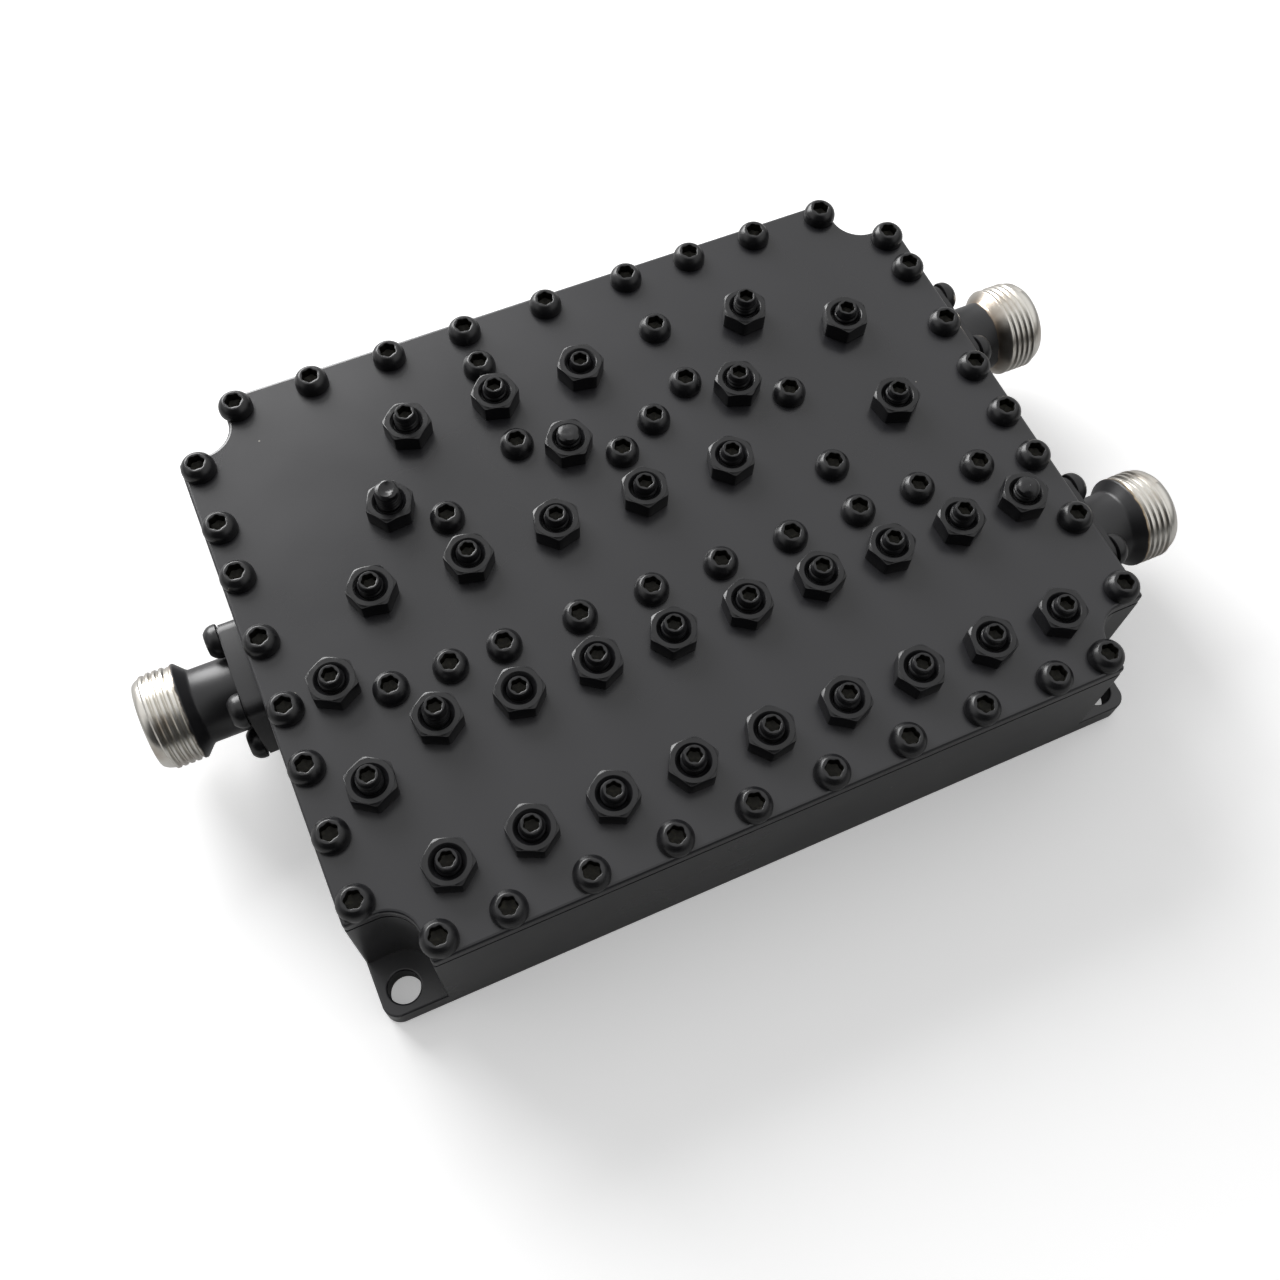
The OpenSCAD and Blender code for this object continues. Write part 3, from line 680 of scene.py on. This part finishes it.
def add_tuner(mesh, place, low, high, lump):
    """A threaded rod from one height to another, open or sealed by a lump of paint at the top."""
    rings = [
        (1.5, low), (1.9, low + 0.3), (1.98, low + 0.5), (1.98, NUT_TOP - 1.0),
        (TUNER_CORE, NUT_TOP - 0.8), (TUNER_CORE, high - 1.15)
    ]
    rings += lump_rings(high, *lump) if lump else socket_rings(high)
    bands = add_rings(mesh, rings, place, SCREW_SEGMENTS, cap_first=True, cap_last=True)
    if not lump:
        oxide_and_shade_inside(bands)
    add_ridge(mesh, place, TUNER_CORE, TUNER_CREST, TUNER_PITCH, NUT_TOP - 0.9, high - 0.75,
              steps=TUNER_STEPS)


for group in TUNER_GROUPS:
    mesh = bmesh.new()
    for low, high in single_solids(group + "_tuners"):
        x, y = (low.x + high.x) / 2, (low.y + high.y) / 2
        near = [spot for spot in SEALED if math.dist((x / MM, y / MM), spot) < 1]
        lump = SEALED[near[0]] if near else None
        place = standing(x, y, 0, 0 if lump else turns.uniform(0, math.pi))
        add_tuner(mesh, place, low.z / MM, high.z / MM, lump)
    piece = smooth_object(group + "_screws", mesh, TUNER_SHARP)
    wear(piece, "painted_brass", screw_paint, socket_oxide_and_shade)
    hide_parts(group + "_tuners")
    print(group, "screws", len(piece.data.polygons), "faces")

# %% [markdown]
# ## Nickel on the jacks
# The jacks are turned from brass and nickel plated. Nickel is a warm, bright grey metal. Turning
# leaves fine rings around the axis, and cable plugs scratch the crests of the thread. The jacks were
# sprayed with the box while a cap covered the thread, so the paint ends in a ragged line. The distance
# from the middle of the box along X tells where paint ends. A warm rim marks the edge of the paint.

# %% Jack material
JACK_RINGS_MM = 0.18
RAGGED_MM = 2.2
WANDER_MM = 0.9
PAINT_STEP_MM = 0.08
STAIN_MM = 5


def painted_nickel(name, paint_end, rim_colour, rim_width):
    """Nickel plate that is black up to a distance from the middle of the box, in metres."""
    material, tree, shader, coords = new_material(name)
    axes = add(tree, "ShaderNodeSeparateXYZ", links={"Vector": coords})
    reach = add(tree, "ShaderNodeMath", {"operation": "ABSOLUTE"}, links={0: axes.outputs["X"]})
    ragged = add(tree, "ShaderNodeTexNoise", inputs={"Scale": per_mm(RAGGED_MM), "Detail": 4},
                 links={"Vector": coords})
    wander = add(tree, "ShaderNodeMath", {"operation": "MULTIPLY_ADD"},
                 {1: WANDER_MM * MM, 2: -WANDER_MM / 2 * MM}, {0: ragged.outputs["Fac"]})
    edge = add(tree, "ShaderNodeMath", {"operation": "ADD"},
               links={0: reach.outputs["Value"], 1: wander.outputs["Value"]})
    bare = add(tree, "ShaderNodeMapRange",
               inputs={"From Min": paint_end - PAINT_STEP_MM * MM,
                       "From Max": paint_end + PAINT_STEP_MM * MM},
               links={"Value": edge.outputs["Value"]})
    rim = add(tree, "ShaderNodeMapRange",
              inputs={"From Min": paint_end + rim_width, "From Max": paint_end, "To Max": 0.85},
              links={"Value": edge.outputs["Value"]})
    turned = add(tree, "ShaderNodeTexWave", {"wave_type": "BANDS", "bands_direction": "X"},
                 {"Scale": per_mm(JACK_RINGS_MM) / 20, "Distortion": 1.2, "Detail": 2},
                 {"Vector": coords})
    stain = add(tree, "ShaderNodeTexNoise", inputs={"Scale": per_mm(STAIN_MM), "Detail": 3},
                links={"Vector": coords})
    tarnish = add(tree, "ShaderNodeMapRange",
                  inputs={"From Min": 0.46, "From Max": 0.68, "To Max": 0.6},
                  links={"Value": stain.outputs["Fac"]})
    plate = add(tree, "ShaderNodeMix", {"data_type": "RGBA"},
                {MIX_A: linear("#d9d6cf"), MIX_B: linear("#9c8e7e")},
                {0: tarnish.outputs["Result"]})
    warm = add(tree, "ShaderNodeMix", {"data_type": "RGBA"}, {MIX_B: linear(rim_colour)},
               {0: rim.outputs["Result"], MIX_A: plate.outputs[MIX_RESULT]})
    colour = add(tree, "ShaderNodeMix", {"data_type": "RGBA"}, {MIX_A: linear("#232325")},
                 {0: bare.outputs["Result"], MIX_B: warm.outputs[MIX_RESULT]})
    rough = add(tree, "ShaderNodeMapRange", inputs={"To Min": 0.36, "To Max": 0.28},
                links={"Value": bare.outputs["Result"]})
    peel = add(tree, "ShaderNodeTexNoise", inputs={"Scale": per_mm(PEEL_MM), "Detail": 2},
               links={"Vector": coords})
    grain = add(tree, "ShaderNodeMix", {"data_type": "FLOAT"},
                links={0: bare.outputs["Result"], NUMBER_A: peel.outputs["Fac"],
                       NUMBER_B: turned.outputs["Fac"]})
    bump = add(tree, "ShaderNodeBump", inputs={"Strength": 0.4, "Distance": 0.015 * MM},
               links={"Height": grain.outputs[NUMBER_RESULT]})
    feed(tree, shader, links={
        "Base Color": colour.outputs[MIX_RESULT], "Metallic": bare.outputs["Result"],
        "Roughness": rough.outputs["Result"], "Normal": bump.outputs["Normal"]
    })
    return material


FACE = housing_high.x
# For each jack: where its paint ends from the face in mm, the colour of the rim and its width in mm.
PAINT_ENDS = {
    "common": (11.75, "#6b5a48", 0.25), "rear": (9.85, "#6f5c48", 2.1), "front": (11.7, "#8a7148", 0.7)
}
jack_finish = {}
for jack, (end, rim_colour, rim_width) in PAINT_ENDS.items():
    jack_finish[jack] = painted_nickel("painted_nickel_" + jack, FACE + end * MM, rim_colour,
                                       rim_width * MM)
    print(jack, "paint ends at mm from the middle:", round(FACE / MM + end, 2))

# %% [markdown]
# ## The flange of a jack
# A jack is one turned piece whose flange is milled square afterwards. The plate could be a cube with
# five holes cut by a boolean, but that leaves ragged triangles. Here its outline and its holes are
# drawn as loops, filled, and pushed to the plate's thickness. Its front edges are broken a little.

# %% Flange
FLANGE_HALF = 8.75
FLANGE_CORNER = 2.5
FLANGE_T = 3.2
FLANGE_HOLE_AT = 6.35
FLANGE_HOLE_R = 1.7
FLANGE_BREAK = 0.3
RIM_FROM = 7.9
CLEAR_OF_HOLE = 1.8
BORE_R = 3.55


def circle_points(x, y, radius, count):
    """Points of a circle, as loops for the flange."""
    angles = [2 * math.pi * i / count for i in range(count)]
    return [(x + radius * math.cos(angle), y + radius * math.sin(angle)) for angle in angles]


def rounded_square(half, radius, steps=5):
    """Corner arcs of a square, joined in order."""
    points = []
    for quarter in range(4):
        middle = math.pi / 4 + quarter * math.pi / 2
        cx = math.copysign(half - radius, math.cos(middle))
        cy = math.copysign(half - radius, math.sin(middle))
        for i in range(steps + 1):
            angle = quarter * math.pi / 2 + i / steps * math.pi / 2
            points.append((cx + radius * math.cos(angle), cy + radius * math.sin(angle)))
    return points


def on_front_rim(point):
    """True on the outer edge of the flange's front face, false at its holes."""
    from_hole = math.hypot(abs(point.x) - FLANGE_HOLE_AT, abs(point.y) - FLANGE_HOLE_AT)
    outside = max(abs(point.x), abs(point.y)) > RIM_FROM
    return point.z > FLANGE_T - 0.01 and outside and from_hole > CLEAR_OF_HOLE


def add_flange(mesh, place):
    """A square plate with a bore and four screw holes, its front edges broken."""
    plate = bmesh.new()
    outlines = [rounded_square(FLANGE_HALF, FLANGE_CORNER), circle_points(0, 0, BORE_R, 48)]
    for x in (-FLANGE_HOLE_AT, FLANGE_HOLE_AT):
        for y in (-FLANGE_HOLE_AT, FLANGE_HOLE_AT):
            outlines.append(circle_points(x, y, FLANGE_HOLE_R, 24))
    edges = []
    for outline in outlines:
        verts = [plate.verts.new((x, y, 0)) for x, y in outline]
        edges += [plate.edges.new(pair) for pair in zip(verts, verts[1:] + verts[:1])]
    filled = bmesh.ops.triangle_fill(plate, edges=edges, use_beauty=True, normal=(0, 0, 1))
    faces = [item for item in filled["geom"] if isinstance(item, bmesh.types.BMFace)]
    grown = bmesh.ops.extrude_face_region(plate, geom=faces)
    front = [item for item in grown["geom"] if isinstance(item, bmesh.types.BMVert)]
    bmesh.ops.translate(plate, vec=(0, 0, FLANGE_T), verts=front)
    rim = [edge for edge in plate.edges if all(on_front_rim(vert.co) for vert in edge.verts)]
    bmesh.ops.bevel(plate, geom=rim, offset=FLANGE_BREAK, segments=2, affect="EDGES")
    # The fill leaves its faces in another order each time, so they are numbered by their place.
    in_order = sorted(plate.faces, key=lambda face: tuple(face.calc_center_median()))
    for i, face in enumerate(in_order):
        face.index = i
    plate.faces.sort()
    plate.transform(place)
    data = bpy.data.meshes.new("flange")
    plate.to_mesh(data)
    plate.free()
    mesh.from_mesh(data)
    bpy.data.meshes.remove(data)


print("points around the flange:", len(rounded_square(FLANGE_HALF, FLANGE_CORNER)))

# %% [markdown]
# ## The barrel of a jack
# In front of the flange come a neck, a sloping shoulder and a barrel for the plug's nut. The mouth of
# the plug slides into the bore. One stack of rings gives this whole skin, from the bore around the
# outside and back in. A helical ridge of 24 threads per inch is wound around the barrel, and the
# corners at the mouth are rounded as a lathe tool leaves them.

# %% Barrel and thread
JACK_SEGMENTS = 96
JACK_SHARP = 40
NECK_R = 6.1
THREAD_CORE = 7.5
THREAD_CREST = 7.84
THREAD_PITCH = 25.4 / 24
MOUTH = 18.3
MOUTH_R = 4.2
MOUTH_FLOOR = 9.3


def add_barrel(mesh, place):
    """Neck, shoulder, barrel and bore as one closed skin, with the thread around it."""
    rings = [
        (BORE_R, FLANGE_T - 0.02), (6.45, FLANGE_T - 0.02), (6.3, FLANGE_T + 0.1),
        (NECK_R, FLANGE_T + 0.45), (NECK_R, 9.7), (6.2, 9.95), (6.4, 10.2), (7.65, 11.4),
        (7.8, 11.55), (7.84, 11.7), (7.82, 12.0), (THREAD_CORE, 12.3), (THREAD_CORE, MOUTH - 1.4),
        (7.38, MOUTH - 1.05), (7.25, MOUTH - 0.7), (7.0, MOUTH - 0.3), (6.82, MOUTH - 0.08),
        (6.65, MOUTH), (4.6, MOUTH), (4.35, MOUTH - 0.1), (MOUTH_R, MOUTH - 0.35),
        (MOUTH_R, MOUTH_FLOOR), (BORE_R, MOUTH_FLOOR)
    ]
    add_rings(mesh, rings, place, JACK_SEGMENTS, closed=True)
    add_ridge(mesh, place, THREAD_CORE, THREAD_CREST, THREAD_PITCH, 11.75, MOUTH - 0.8,
              steps=JACK_SEGMENTS, base=0.96, top=0.36, fade=0.5)


jack_places = {}
for jack in JACKS:
    low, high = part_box(jack + "_jack_body")
    side = 1 if high.x > 0 else -1
    place = (side * FACE, (low.y + high.y) / 2, (low.z + high.z) / 2, side)
    jack_places[jack] = place
    mesh = bmesh.new()
    add_flange(mesh, lying(*place))
    add_barrel(mesh, lying(*place))
    piece = smooth_object(jack + "_jack", mesh, JACK_SHARP)
    wear(piece, "nickel", jack_finish[jack])
    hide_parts(jack + "_jack_body")
    print(jack, "jack", len(piece.data.polygons), "faces, axis at", in_mm(place[:3]))

# %% [markdown]
# ## Flange screws
# The same pan head screws hold each jack to the housing. They lie along the jack's axis, so only the
# matrix differs from the cover screws.

# %% Flange screws
FLANGE_SHANK = 7.7
HOLE_AT = FLANGE_HOLE_AT * MM
for jack in JACKS:
    x, y, z, side = jack_places[jack]
    front = x + side * FLANGE_T * MM
    mesh = bmesh.new()
    for dy in (-1, 1):
        for dz in (-1, 1):
            turn = turns.uniform(0, math.pi)
            place = lying(front, y + dy * HOLE_AT, z + dz * HOLE_AT, side, turn)
            add_pan_screw(mesh, place, FLANGE_SHANK)
    piece = smooth_object(jack + "_flange_screw_heads", mesh, HEAD_SHARP)
    wear(piece, "painted_screw", screw_paint, socket_oxide_and_shade)
    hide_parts(jack + "_flange_screws")
    print(jack, "flange screws", len(piece.data.polygons), "faces")

# %% [markdown]
# ## White insulator and gold contact
# Behind the mouth of each jack sits a disc of white fluoropolymer, a soft waxy plastic turned from rod.
# It lets a little light in under its skin, so it gets some subsurface scattering. The slotted contact
# in its middle is gold plated brass, a smooth deep yellow metal that dulls in patches. Both solids have
# the right shape and only need their finish.

# %% Insulator and contact materials
CLOUD_MM = 3


def fluoropolymer():
    """Waxy white plastic with faint clouds in its colour and skin."""
    material, tree, shader, coords = new_material("turned_white_fluoropolymer")
    cloud = add(tree, "ShaderNodeTexNoise", inputs={"Scale": per_mm(CLOUD_MM), "Detail": 3},
                links={"Vector": coords})
    colour = add(tree, "ShaderNodeMix", {"data_type": "RGBA"},
                 {MIX_A: linear("#efeeea"), MIX_B: linear("#e2e0d8")}, {0: cloud.outputs["Fac"]})
    bump = add(tree, "ShaderNodeBump", inputs={"Strength": 0.3, "Distance": 0.02 * MM},
               links={"Height": cloud.outputs["Fac"]})
    feed(tree, shader,
         {"Roughness": 0.42, "IOR": 1.38, "Subsurface Weight": 0.15, "Subsurface Scale": 0.4 * MM},
         {"Base Color": colour.outputs[MIX_RESULT], "Normal": bump.outputs["Normal"]})
    return material


def plated(name, colour, dull_colour, roughness, patch_mm, scratch_mm):
    """A plated metal with dull patches and fine scratches in its bump."""
    material, tree, shader, coords = new_material(name)
    patches = add(tree, "ShaderNodeTexNoise", inputs={"Scale": per_mm(patch_mm), "Detail": 4},
                  links={"Vector": coords})
    dull = add(tree, "ShaderNodeMapRange", inputs={"From Min": 0.42, "From Max": 0.66},
               links={"Value": patches.outputs["Fac"]})
    tone = add(tree, "ShaderNodeMix", {"data_type": "RGBA"},
               {MIX_A: linear(colour), MIX_B: linear(dull_colour)}, {0: dull.outputs["Result"]})
    rough = add(tree, "ShaderNodeMapRange",
                inputs={"To Min": roughness, "To Max": roughness + 0.14},
                links={"Value": dull.outputs["Result"]})
    scratches = add(tree, "ShaderNodeTexNoise", inputs={"Scale": per_mm(scratch_mm), "Detail": 3},
                    links={"Vector": coords})
    bump = add(tree, "ShaderNodeBump", inputs={"Strength": 0.25, "Distance": 0.01 * MM},
               links={"Height": scratches.outputs["Fac"]})
    feed(tree, shader, {"Metallic": 1},
         {"Base Color": tone.outputs[MIX_RESULT], "Roughness": rough.outputs["Result"],
          "Normal": bump.outputs["Normal"]})
    return material


white_plastic = fluoropolymer()
gold_plate = plated("gold_plate_on_brass", "#e0b765", "#b98d45", 0.22, 1.5, 0.3)
for jack in JACKS:
    wear(nodes[jack + "_jack_insulator"], "white_insulator", white_plastic)
    wear(nodes[jack + "_jack_contact"], "gold_contact", gold_plate)
print("insulators and contacts:", 2 * len(JACKS))

# %% [markdown]
# ## Inside the box
# The posts, rods and lines carry radio currents in their skin, so they are silver plated, which looks
# white and bright with yellowish dull patches. The screws that hold them are zinc plated steel, a
# bluish grey. The cover hides all of it, but the pieces are real, so they get their real finish too.

# %% Silver and zinc
silver_plate = plated("silver_plate", "#e4e2dc", "#bdb6a8", 0.2, 4, 0.5)
bright_zinc = plated("bright_zinc_on_steel", "#b9bcc0", "#8f9396", 0.33, 2, 0.25)
silver_nodes = ["cavity_posts", "filter_rods"] + [jack + "_line" for jack in JACKS]
zinc_nodes = ["post_screws", "foot_screws"]
for name in silver_nodes:
    wear(nodes[name], "silver_plate", silver_plate)
for name in zinc_nodes:
    wear(nodes[name], "plain_steel", bright_zinc)
print("hidden nodes dressed:", len(silver_nodes + zinc_nodes))

# %% [markdown]
# ## The floor
# The photograph has a white background, so the floor is a wide sheet of white paper. It keeps the soft
# shadow of the box. A brighter lamp would make it white and spoil the black paint, so the paper itself
# is whiter for camera rays and glows a little. The glow grows away from the box, where the paper runs
# into the white room without a line. For the light that falls on the object the paper is a light grey.
# Black paint mirrors paper strongly, so in mirrors it is only a third of the way to white.

# %% Floor
FLOOR_HALF = 2.0
FLOOR_GLOW = 0.3
FADE_FROM, FADE_TO = 0.2, 0.9
MIRRORED_PAPER = 0.35
floor_mesh = bmesh.new()
bmesh.ops.create_grid(floor_mesh, x_segments=1, y_segments=1, size=FLOOR_HALF)
floor_data = bpy.data.meshes.new("floor")
floor_mesh.to_mesh(floor_data)
floor_mesh.free()
floor = bpy.data.objects.new("floor", floor_data)
floor.location.z = -0.1 * MM
bpy.context.scene.collection.objects.link(floor)


def pale_floor():
    """Matt white paper that looks white to the camera and lights the object a little less."""
    material, tree, shader, coords = new_material("pale_paper")
    path = add(tree, "ShaderNodeLightPath")
    direct = add(tree, "ShaderNodeMath", {"operation": "MAXIMUM"},
                 links={0: path.outputs["Is Camera Ray"], 1: path.outputs["Is Transmission Ray"]})
    mirrored = add(tree, "ShaderNodeMath", {"operation": "MULTIPLY"}, {1: MIRRORED_PAPER},
                   {0: path.outputs["Is Glossy Ray"]})
    seen = add(tree, "ShaderNodeMath", {"operation": "MAXIMUM"},
               links={0: direct.outputs["Value"], 1: mirrored.outputs["Value"]})
    colour = add(tree, "ShaderNodeMix", {"data_type": "RGBA"},
                 {MIX_A: linear("#acacac"), MIX_B: linear("#ffffff")}, {0: seen.outputs["Value"]})
    away = add(tree, "ShaderNodeVectorMath", {"operation": "LENGTH"}, links={0: coords})
    fade = add(tree, "ShaderNodeMapRange",
               inputs={"From Min": FADE_FROM, "From Max": FADE_TO, "To Min": FLOOR_GLOW,
                       "To Max": 1.0},
               links={"Value": away.outputs["Value"]})
    glow = add(tree, "ShaderNodeMath", {"operation": "MULTIPLY"},
               links={0: direct.outputs["Value"], 1: fade.outputs["Result"]})
    feed(tree, shader,
         {"Emission Color": linear("#ffffff"), "Roughness": 0.9, "Specular IOR Level": 0.0},
         {"Base Color": colour.outputs[MIX_RESULT], "Emission Strength": glow.outputs["Value"]})
    return material


floor.data.materials.append(pale_floor())
print("floor at mm below the feet:", round(-floor.location.z / MM, 2))

# %% [markdown]
# ## The room
# A white room lights the box from all sides. To the camera it is plain white. To the object it is dark
# near the horizon and in a wide round patch on the near side. The patch and the horizon draw the dark
# line along the bright round jacks, and they keep the near sides of the nuts and the screw heads black.
# The pattern follows directions of the world alone, so it stays where it is when the camera moves.

# %% Room
ROOM_LEVEL = 0.6
NEAR_SIDE = Vector((-0.42, -0.76, 0.5)).normalized()
# Where a height turns from dark horizon to white wall, and the level of the horizon.
HORIZON = {"From Min": 0.05, "From Max": 0.42, "To Min": 0.1, "To Max": 1.0}
# How close to the near side the dark patch begins and is full, and its level.
PATCH = {"From Min": 0.6, "From Max": 0.86, "To Min": 1.0, "To Max": 0.06}
# The horizon stands a little higher in front than at the back.
HORIZON_TILT = 0.15

world = bpy.data.worlds.new("white_room")
world.use_nodes = True
bpy.context.scene.world = world
tree = world.node_tree
tree.nodes.clear()
path = add(tree, "ShaderNodeLightPath")
direction = add(tree, "ShaderNodeTexCoord").outputs["Generated"]
axes = add(tree, "ShaderNodeSeparateXYZ", links={"Vector": direction})
height = add(tree, "ShaderNodeMath", {"operation": "MULTIPLY_ADD"}, {1: HORIZON_TILT},
             {0: axes.outputs["Y"], 2: axes.outputs["Z"]})
walls = add(tree, "ShaderNodeMapRange", inputs=HORIZON, links={"Value": height.outputs["Value"]})
facing = add(tree, "ShaderNodeVectorMath", {"operation": "DOT_PRODUCT"}, {1: NEAR_SIDE},
             {0: direction})
patch = add(tree, "ShaderNodeMapRange", inputs=PATCH, links={"Value": facing.outputs["Value"]})
room = add(tree, "ShaderNodeMath", {"operation": "MULTIPLY"},
           links={0: walls.outputs["Result"], 1: patch.outputs["Result"]})
level = add(tree, "ShaderNodeMapRange", inputs={"To Min": ROOM_LEVEL, "To Max": 1.0},
            links={"Value": path.outputs["Is Glossy Ray"]})
lit = add(tree, "ShaderNodeMath", {"operation": "MULTIPLY"},
          links={0: level.outputs["Result"], 1: room.outputs["Value"]})
seen = add(tree, "ShaderNodeMath", {"operation": "MAXIMUM"},
           links={0: path.outputs["Is Camera Ray"], 1: path.outputs["Is Transmission Ray"]})
strength = add(tree, "ShaderNodeMath", {"operation": "MAXIMUM"},
               links={0: seen.outputs["Value"], 1: lit.outputs["Value"]})
background = add(tree, "ShaderNodeBackground", inputs={"Color": linear("#ffffff")},
                 links={"Strength": strength.outputs["Value"]})
add(tree, "ShaderNodeOutputWorld", links={"Surface": background.outputs["Background"]})
print("room level", ROOM_LEVEL)

# %% [markdown]
# ## The lamp
# One large soft box stands low behind the box and a little to the left, as a window would. Its light
# grazes the cover, so the back of the cover mirrors it, and the nuts and heads throw soft shadows
# towards the camera. Its size sets how soft they are, and its power keeps the paper just white.

# %% Lamp
LAMP_PLACE = (-0.22, 0.85, 0.39)
LAMP_SIZE = 0.65
LAMP_POWER = 13
LAMP_TARGET = (0, 0, 0.02)
lamp_data = bpy.data.lights.new("window_lamp", "AREA")
lamp_data.shape = "SQUARE"
lamp_data.size = LAMP_SIZE
lamp_data.energy = LAMP_POWER
lamp = bpy.data.objects.new("window_lamp", lamp_data)
lamp.location = LAMP_PLACE
away = Vector(LAMP_PLACE) - Vector(LAMP_TARGET)
lamp.rotation_euler = away.to_track_quat("Z", "Y").to_euler()
bpy.context.scene.collection.objects.link(lamp)
print("lamp at", LAMP_PLACE, "with", LAMP_POWER, "W")
